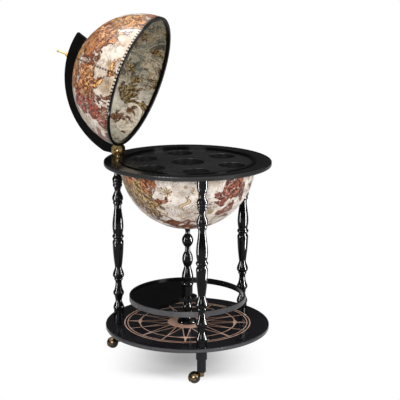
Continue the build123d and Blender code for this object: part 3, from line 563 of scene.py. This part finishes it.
lid_map = make_map_group(
    "lid_map",
    lands=[
        (-44, 46, 25, orange),
        (-24, 24, 20, ochre),
        (-66, 60, 20, ochre),
        (-90, 34, 17, orange),
        (-84, 22, 8, ochre),
        (-104, 54, 13, orange),
        (-114, 18, 16, maroon),
        (-124, 34, 15, maroon),
        (-103, 12, 6, brown),
        (-140, 9, 6, brown),
        (-2, 58, 17, ochre),
        (36, 34, 22, olive),
        (84, 22, 14, orange),
        (112, 48, 18, maroon),
        (150, 22, 17, ochre),
        (172, 58, 13, brown),
        (8, 12, 8, rose_tint),
    ],
    roses=[(-70, 12, 0.07), (62, 8, 0.08), (-164, 8, 0.06)],
    ribbons=[(-88, 6, 0.06, 60), (-52, 9, 0.06, -30), (30, 9, 0.08, 20), (-178, 30, 0.09, 50)],
    sea=(0.72, 0.635, 0.55),
    sea_stain=(0.46, 0.36, 0.265),
    countries=country_tints,
)
bowl_map = make_map_group(
    "bowl_map",
    lands=[
        (-124, -22, 23, olive),
        (-126, -14, 9, orange),
        (-100, -8, 5, brown),
        (-19, -16, 14, wine),
        (-27, -30, 5, wine),
        (-66, -66, 14, brown),
        (28, -30, 14, ochre),
        (78, -18, 19, orange),
        (128, -34, 20, olive),
        (168, -12, 13, maroon),
        (-160, -44, 11, ochre),
        (70, -58, 10, rose_tint),
    ],
    roses=[
        (-88, -15, 0.085),
        (-47, -36, 0.062),
        (-72, -10, 0.04),
        (-61, -26, 0.035),
        (108, -8, 0.08),
        (20, -8, 0.06),
    ],
    ribbons=[
        (-73, -26, 0.13, 8),
        (-97, -38, 0.09, 75),
        (-58, -17, 0.07, 60),
        (-78, -42, 0.07, 100),
        (-66, -13, 0.05, -20),
        (50, -44, 0.12, 30),
        (150, -46, 0.12, 60),
    ],
    sea=(0.77, 0.70, 0.635),
    sea_stain=(0.46, 0.38, 0.31),
    countries=country_tints,
)
lining_map = make_map_group(
    "lining_map",
    lands=[
        (107, 13, 7, moss),
        (115, 17, 4, moss),
        (86, 30, 4, moss),
        (62, 24, 4, moss),
        (150, 28, 4, brown),
        (134, 50, 4, olive),
        (20, 40, 12, olive),
        (-60, 30, 16, ochre),
        (-130, 24, 15, brown),
    ],
    roses=[(136, 16, 0.05), (60, 40, 0.07), (-100, 10, 0.08)],
    ribbons=[(96, 12, 0.07, 40), (146, 14, 0.07, 100), (60, 16, 0.08, 10), (-20, 16, 0.08, 40)],
    sea=(0.66, 0.57, 0.42),
    sea_stain=(0.44, 0.40, 0.29),
    countries=lining_tints,
    contours=0.65,
)


# ------------------------------------------------------------------ materials
def new_material(name):
    """A material, its wires, its Principled node and the Object coordinates."""
    material = bpy.data.materials.new(name)
    material.use_nodes = True
    wires = Wires(material.node_tree)
    shader = material.node_tree.nodes["Principled BSDF"]
    at = wires.node("ShaderNodeTexCoord").outputs["Object"]
    return material, wires, shader, at


def bump(w, shader, height, strength, distance):
    """Fine relief of a surface, given its height."""
    made = w.node("ShaderNodeBump")
    made.inputs["Strength"].default_value = strength
    made.inputs["Distance"].default_value = distance
    w.put(made.inputs["Height"], height)
    w.put(shader.inputs["Normal"], made.outputs["Normal"])


def globe_frame(w, at, centre, turn=None):
    """Object coordinates measured from a globe's centre, turned to its own frame."""
    from_centre = w.vector("SUBTRACT", at, centre)
    if turn is None:
        return from_centre
    joined = w.node("ShaderNodeCombineXYZ")
    for socket, way in zip(joined.inputs, turn):
        w.put(socket, w.part_along(from_centre, way))
    return joined.outputs[0]


def make_map_paper(name, tree, centre, turn, roughness, coat):
    """Printed paper under varnish, with dust and a little fibre."""
    dust_tint = (0.5, 0.44, 0.36)
    material, w, shader, at = new_material(name)
    printed = w.group(tree, Position=globe_frame(w, at, centre, turn))
    grain = w.group(grain_group, Position=at, Ripple_Scale=45.0, Dust=0.08)
    w.put(shader.inputs["Base Color"], w.mix(grain["Dust"], printed["Color"], dust_tint))
    w.put(shader.inputs["Roughness"], w.blend(printed["Wear"], roughness - 0.08, roughness + 0.12))
    shader.inputs["Coat Weight"].default_value = coat
    shader.inputs["Coat Roughness"].default_value = 0.16
    shader.inputs["Specular IOR Level"].default_value = 0.15
    bump(w, shader, w.math("ADD", printed["Height"], grain["Height"]), 0.12, 0.0006)
    return material


def start_lacquer(name, tint, roughness, ripple, gloss):
    """Lacquer in clouds of two tones: the material, its parts and its colour under the dust."""
    dust_tint = (0.20, 0.20, 0.21)
    material, w, shader, at = new_material(name)
    grain = w.group(grain_group, Position=at, Ripple_Scale=ripple, Dust=0.3)
    cloud = w.smooth(w.noise(at, 6.0, 4.0), 0.35, 0.7)
    base = w.mix(cloud, tint, tuple(c * 1.5 for c in tint))
    w.put(shader.inputs["Base Color"], w.paint(base, grain["Dust"], 0.03, dust_tint))
    rough = w.math("MULTIPLY_ADD", grain["Dust"], 0.16, roughness)
    w.put(shader.inputs["Roughness"], w.math("MULTIPLY_ADD", grain["Scuffs"], 0.08, rough))
    shader.inputs["Specular IOR Level"].default_value = gloss
    bump(w, shader, grain["Height"], 0.10, 0.0008)
    return material, w, shader, at, base


def make_lacquer(name, tint, roughness, ripple, gloss):
    """Plain lacquer all over."""
    return start_lacquer(name, tint, roughness, ripple, gloss)[0]


def satin_edge_and_sheen(w, at, edge_radius):
    """1 on a disc's outer edge, patchy in places; it marks the edge's satin roughness and its painted
    sheen.
    """
    flat = w.vector("MULTIPLY", w.vector("SUBTRACT", at, stand_axis), (1, 1, 0))
    band = w.smooth(w.vector("LENGTH", flat), edge_radius, edge_radius + 0.0008)
    patchy = w.math("MULTIPLY_ADD", w.smooth(w.noise(at, 5.0, 4.0), 0.35, 0.65), 0.6, 0.4)
    return w.times(band, patchy)


def make_edged_lacquer(name, edge_radius, edge_sheen_tint, gloss):
    """Black lacquer on a board, with its edge satin and painted paler as a sheen."""
    board_black = (0.0045, 0.0045, 0.005)
    material, w, shader, at, base = start_lacquer(name, board_black, 0.15, 50.0, gloss)
    band = satin_edge_and_sheen(w, at, edge_radius)
    # Painted sheen: the edge is laid in a paler tint
    w.put(shader.inputs["Base Color"], w.mix(band, base, edge_sheen_tint))
    w.put(shader.inputs["Roughness"], w.blend(band, 0.16, 0.40))
    return material


# The shelf's inlay: radii of its lines and rays, and the way that its first ray points
star_heading = 17.5
long_ray_tip, short_ray_tip = 0.1860, 0.1485
outer_line, middle_line, inner_line = 0.1955, 0.1860, 0.1485
hub_inner, hub_outer, rays_start = 0.031, 0.062, 0.060
leaf_half_length, leaf_half_width = 0.030, 0.006
inlay_depth, line_blur = 0.0006, 0.0004


def make_shelf_inlay():
    """Black lacquer with a compass star inlaid in copper-coloured line."""
    shelf_black, edge_sheen_grey = (0.0045, 0.0042, 0.0065), (0.052, 0.050, 0.054)
    material, w, shader, at, base = start_lacquer("shelf_inlay", shelf_black, 0.15, 70.0, 0.30)
    x, y, z = w.split("ShaderNodeSeparateXYZ", w.vector("SUBTRACT", at, stand_axis))

    def star(tip, slimness, line, heading):
        """A star of eight rays, turned to its heading in degrees."""
        c, s = cos(radians(heading)) / tip, sin(radians(heading)) / tip
        east = w.math("ADD", w.times(x, c), w.times(y, s))
        north = w.minus(w.times(y, c), w.times(x, s))
        return w.group(star_group, East=east, North=north, Slimness=slimness, Line=line)

    long_rays = star(long_ray_tip, 10.0, 0.065, star_heading)
    short_rays = star(short_ray_tip, 9.0, 0.075, star_heading + 22.5)
    radius = w.times(long_rays["Radius"], long_ray_tip)

    def ring(ring_radius, width):
        """A line all round."""
        return w.line(w.apart(radius, ring_radius), width)

    def between(low, high):
        """1 from one radius to another."""
        beyond_low = w.smooth(radius, low - line_blur, low + line_blur)
        beyond_high = w.smooth(radius, high - line_blur, high + line_blur)
        return w.times(beyond_low, w.outside(beyond_high))

    def off_spoke(step):
        """How far a point is from the nearest of the spokes, one each step of angle."""
        return w.times(w.math("PINGPONG", long_rays["Angle"], step / 2), radius)

    lines = ring(outer_line, 0.0016)
    for made in (
        ring(middle_line, 0.0013),
        ring(inner_line, 0.0015),
        between(hub_inner, hub_outer),
        w.times(long_rays["Outline"], between(rays_start, long_ray_tip + 0.004)),
        w.times(short_rays["Outline"], between(rays_start, short_ray_tip + 0.0115)),
        w.times(w.line(off_spoke(pi / 8), 0.0014), between(inner_line, middle_line)),
    ):
        lines = w.highest(lines, made)
    # A pointed leaf lies along the inner line at every second long ray
    along_leaf = w.times(off_spoke(pi / 2), leaf_half_width / leaf_half_length)
    off_leaf = w.math("ADD", along_leaf, w.apart(radius, inner_line))
    leaf = w.outside(w.smooth(off_leaf, leaf_half_width, leaf_half_width * 1.25))
    lines = w.highest(lines, leaf)

    on_top = w.math("GREATER_THAN", z, shelf_top - inlay_depth)
    patchy = w.smooth(w.noise(at, 40.0, 5.0, 0.65), 0.28, 0.5)
    inlay = w.times(w.times(lines, on_top), w.math("MULTIPLY_ADD", patchy, 0.3, 0.7))
    copper = w.ramp(w.noise(at, 14.0, 4.0), (0.3, (0.78, 0.43, 0.30)), (0.7, (0.98, 0.68, 0.53)))
    # Painted sheen: the shelf's edge is laid in paler grey
    with_edge_sheen = w.mix(satin_edge_and_sheen(w, at, board_edge), base, edge_sheen_grey)
    w.put(shader.inputs["Base Color"], w.mix(inlay, with_edge_sheen, copper))
    w.put(shader.inputs["Metallic"], w.times(inlay, 0.12))
    return material


def make_metal(name, bright, dull, roughness, tarnish):
    """Metal with tarnish that gathers in clouds and pits, and fine brushing."""
    material, w, shader, at = new_material(name)
    grain = w.group(grain_group, Position=at, Ripple_Scale=220.0, Dust=0.25)
    cloud = w.smooth(w.noise(at, 55.0, 6.0, 0.65), 0.40, 0.68)
    pits = w.outside(w.smooth(w.cells(at, 300.0), 0.05, 0.16))
    aged = w.math("ADD", w.times(cloud, tarnish), w.times(pits, 0.5), clamp=True)
    w.put(shader.inputs["Base Color"], w.mix(aged, bright, dull))
    w.put(shader.inputs["Metallic"], w.math("MULTIPLY_ADD", aged, -0.15, 1.0))
    w.put(shader.inputs["Roughness"], w.math("MULTIPLY_ADD", aged, 0.22, roughness))
    bump(w, shader, w.math("ADD", grain["Height"], w.times(grain["Scuffs"], 0.4)), 0.14, 0.0003)
    return material


def make_ball_plastic():
    """Hard black caster ball with a faint swirl and a scuffed tread."""
    ball_tint, swirl_tint, dust_tint = (0.005, 0.005, 0.005), (0.018, 0.016, 0.013), (0.2, 0.18, 0.15)
    material, w, shader, at = new_material("caster_ball_black")
    grain = w.group(grain_group, Position=at, Ripple_Scale=120.0, Dust=0.2)
    swirl = w.smooth(w.noise(at, 42.0, 4.0, 0.55, 3.0), 0.50, 0.62)
    tint = w.mix(swirl, ball_tint, swirl_tint)
    w.put(shader.inputs["Base Color"], w.paint(tint, grain["Dust"], 0.3, dust_tint))
    w.put(shader.inputs["Roughness"], w.math("MULTIPLY_ADD", grain["Dust"], 0.35, 0.16))
    shader.inputs["Coat Weight"].default_value = 0.5
    shader.inputs["Specular IOR Level"].default_value = 0.3
    bump(w, shader, grain["Height"], 0.1, 0.0004)
    return material


def make_bare_wood():
    """Pale dowel wood with straight grain along its length."""
    dark_grain, pale_grain = (0.38, 0.24, 0.13), (0.58, 0.42, 0.26)
    material, w, shader, at = new_material("dowel_beech")
    along = w.vector("MULTIPLY", at, (500.0, 500.0, 24.0))
    fleck = w.noise(along, 1.0, 4.0, 0.6)
    w.put(shader.inputs["Base Color"], w.ramp(fleck, (0.3, dark_grain), (0.7, pale_grain)))
    w.put(shader.inputs["Roughness"], w.blend(fleck, 0.5, 0.7))
    bump(w, shader, fleck, 0.3, 0.0003)
    return material


lid_turn = (lid_front, lid_across, lid_pole)
lid_paper = make_map_paper("lid_map_paper", lid_map, lid_centre, lid_turn, 0.38, 0.20)
bowl_paper = make_map_paper("bowl_map_paper", bowl_map, bowl_centre, None, 0.38, 0.03)
lining_paper = make_map_paper("lining_map_paper", lining_map, lid_centre, lid_turn, 0.44, 0.03)

# Lacquers: name, tint, roughness, ripples per metre, gloss
lacquer = make_lacquer("black_lacquer", (0.0030, 0.0030, 0.0033), 0.06, 45.0, 0.11)
foot_black = make_lacquer("foot_black", (0.009, 0.009, 0.0105), 0.36, 90.0, 0.09)
arc_lacquer = make_lacquer("arc_lacquer", (0.0030, 0.0030, 0.0030), 0.36, 80.0, 0.03)
trim_black = make_lacquer("trim_black", (0.003, 0.003, 0.003), 0.13, 120.0, 0.08)
tray_black = make_lacquer("tray_black", (0.009, 0.009, 0.0095), 0.25, 160.0, 0.42)

# Lacquers with a painted paler sheen on the edge: name, radius at which the edge starts, the sheen's
# tint, gloss
ring_lacquer = make_edged_lacquer("ring_lacquer", board_edge, (0.014, 0.014, 0.0145), 0.35)
hoop_lacquer = make_edged_lacquer("hoop_lacquer", hoop_edge, (0.100, 0.098, 0.104), 0.22)
shelf_inlay = make_shelf_inlay()

# Metals: name, bright tone, tarnished tone, roughness, share of tarnish
# The casters' brass is darker than the hinge's: partly a duller brass, partly painted shade
dull_and_shaded_brass = make_metal("dull_and_shaded_brass", (0.22, 0.152, 0.082), (0.048, 0.032, 0.018), 0.17, 0.7)
brass = make_metal("antique_brass", (0.42, 0.29, 0.125), (0.11, 0.068, 0.03), 0.17, 0.70)
pin_brass = make_metal("bright_brass", (0.72, 0.48, 0.16), (0.36, 0.21, 0.07), 0.16, 0.35)
steel = make_metal("zinc_steel", (0.60, 0.60, 0.62), (0.30, 0.29, 0.28), 0.24, 0.4)
ball_black = make_ball_plastic()
dowel_beech = make_bare_wood()

finishes = {
    "lid_shell": lid_paper,
    "lower_bowl": bowl_paper,
    "lid_liner": lining_paper,
    "shelf": shelf_inlay,
    "top_ring": ring_lacquer,
    "gallery_hoop": hoop_lacquer,
    "meridian_arc": arc_lacquer,
    "bowl_trim": trim_black,
    "lid_rim": trim_black,
    "glass_tray": tray_black,
    "leg_dowels": dowel_beech,
}
finishes_by_start = {
    "foot_": foot_black,
    "caster_ball": ball_black,
    "caster_hood": dull_and_shaded_brass,
    "caster_socket": dull_and_shaded_brass,
    "caster_stem": steel,
    "caster_axle": dull_and_shaded_brass,
    "hinge_": brass,
    "hoop_screws": brass,
    "lid_hub": brass,
    "pole_": pin_brass,
    "pin_nut": pin_brass,
    "rod_": steel,
    "spindle_rod": steel,
    "leg_studs": steel,
}


def finish_of(name):
    """The material of a piece, by its whole name or by how its name starts."""
    if name in finishes:
        return finishes[name]
    for start, material in finishes_by_start.items():
        if name.startswith(start):
            return material
    return lacquer


for name, node in nodes.items():
    material = finish_of(name)
    if not node.material_slots:
        node.data.materials.append(material)
    for material_slot in node.material_slots:
        material_slot.material = material

# ------------------------------------------------------------------ floor
view_heading = radians(19.0)
shade_middle = (stand_x + 0.033, -0.113, 0)
shade_reach = 0.27
forwards_stretch, backwards_stretch = 2.4, -0.45
least_white, added_white = 0.14, 0.86
floor_size, floor_tint = 14.0, (0.86, 0.86, 0.86, 1)

bpy.ops.mesh.primitive_plane_add(size=floor_size, location=(0, 0, 0))
floor = bpy.context.object
floor.name = "studio_floor"
floor_paint = bpy.data.materials.new("studio_floor")
floor_paint.use_nodes = True
floor_wires = Wires(floor_paint.node_tree)
floor_shader = floor_paint.node_tree.nodes["Principled BSDF"]
floor_shader.inputs["Base Color"].default_value = floor_tint
floor_shader.inputs["Roughness"].default_value = 0.75
floor_shader.inputs["Specular IOR Level"].default_value = 0.1

# The pale floor turns to the white of the backdrop away from the shade under the stand
floor_at = floor_wires.node("ShaderNodeTexCoord").outputs["Object"]
off_middle = floor_wires.vector("SUBTRACT", floor_at, shade_middle)
sideways = floor_wires.part_along(off_middle, (cos(view_heading), sin(view_heading), 0))
forwards = floor_wires.part_along(off_middle, (sin(view_heading), -cos(view_heading), 0))
depth = floor_wires.highest(
    floor_wires.times(forwards, forwards_stretch), floor_wires.times(forwards, backwards_stretch)
)
squares = floor_wires.math("MULTIPLY_ADD", depth, depth, floor_wires.times(sideways, sideways))
away = floor_wires.smooth(floor_wires.math("SQRT", squares), 0.0, shade_reach)
whitened = floor_wires.math("MULTIPLY_ADD", away, added_white, least_white)
ray = floor_wires.node("ShaderNodeLightPath")
white = floor_wires.node("ShaderNodeEmission")
white.inputs["Strength"].default_value = 1.0
joined = floor_wires.node("ShaderNodeMixShader")
floor_wires.put(joined.inputs[0], floor_wires.times(whitened, ray.outputs["Is Camera Ray"]))
floor_wires.put(joined.inputs[1], floor_shader.outputs[0])
floor_wires.put(joined.inputs[2], white.outputs[0])
floor_out = floor_paint.node_tree.nodes["Material Output"]
floor_wires.put(floor_out.inputs["Surface"], joined.outputs[0])
floor.data.materials.append(floor_paint)

# ------------------------------------------------------------------ light
# White to the eye, dim on matt surfaces, and brightest overhead in reflections
world = bpy.data.worlds.new("studio")
bpy.context.scene.world = world
world.use_nodes = True
sky = Wires(world.node_tree)
seen = sky.node("ShaderNodeLightPath")
up = sky.part_along(sky.node("ShaderNodeTexCoord").outputs["Generated"], (0.0, 0.0, 1.0))
mirrored = sky.highest(sky.smooth(up, 0.30, 0.70), 0.03)
lit = sky.blend(seen.outputs["Is Glossy Ray"], 0.30, mirrored)
shown = sky.highest(seen.outputs["Is Camera Ray"], seen.outputs["Is Transmission Ray"])
studio_air = world.node_tree.nodes["Background"]
studio_air.inputs["Color"].default_value = (1.0, 1.0, 1.0, 1)
sky.put(studio_air.inputs["Strength"], sky.highest(shown, lit))

# Pieces that some lights put their highlights on
turned_work = bpy.data.collections.new("turned_work")
for name, node in nodes.items():
    if name.startswith(("leg_", "spindle_", "lid_rim")):
        turned_work.objects.link(node)
lid_print = bpy.data.collections.new("lid_print")
lid_print.objects.link(nodes["lid_shell"])


def softbox(name, place, target, width, height, power, shine_on=None):
    """A lit panel aimed at a target. With shine_on, it only puts highlights on those pieces."""
    light = bpy.data.lights.new(name, "AREA")
    light.shape = "RECTANGLE"
    light.size, light.size_y, light.energy = width, height, power
    lamp = bpy.data.objects.new(name, light)
    lamp.visible_camera = False
    if shine_on:
        lamp.visible_diffuse = False
        lamp.light_linking.receiver_collection = shine_on
    bpy.context.scene.collection.objects.link(lamp)
    lamp.location = place
    lamp.rotation_euler = (Vector(target) - Vector(place)).to_track_quat("-Z", "Y").to_euler()


legs_middle = (stand_x, 0, 0.40)
softbox("strip_left", (stand_x - 0.85, -0.75, 0.45), legs_middle, 0.14, 1.1, 85, turned_work)
softbox("strip_right", (stand_x + 0.85, 0.12, 0.45), legs_middle, 0.13, 1.1, 130, turned_work)
softbox("lid_glint", (-0.5, 0, 2.95), lid_centre, 1.3, 1.3, 38, lid_print)
softbox("softbox_right", (2.8, -0.7, 1.2), (0.05, 0, 0.6), 0.8, 1.4, 50)
softbox("softbox_front", (0.2, -3.2, 1.6), (0.05, 0, 0.5), 1.8, 0.9, 74)
softbox("softbox_top", (-0.4, -0.1, 2.8), (0, 0, 0.8), 1.0, 1.0, 32)

# ------------------------------------------------------------------ camera
view_tilt, view_roll = radians(76.744), radians(0.26)
camera_place = (stand_x + 1.2620, -3.5445, 1.3924)
scene = bpy.context.scene
scene.view_settings.view_transform = "Standard"
camera = bpy.data.cameras.new("camera")
camera.lens, camera.sensor_width, camera.shift_x = 113.7, 36.0, -0.00135
camera_object = bpy.data.objects.new("camera", camera)
scene.collection.objects.link(camera_object)
turned = Matrix.Rotation(view_heading, 3, "Z") @ Matrix.Rotation(view_tilt, 3, "X")
camera_object.rotation_euler = (turned @ Matrix.Rotation(view_roll, 3, "Z")).to_euler()
camera_object.location = camera_place
scene.camera = camera_object
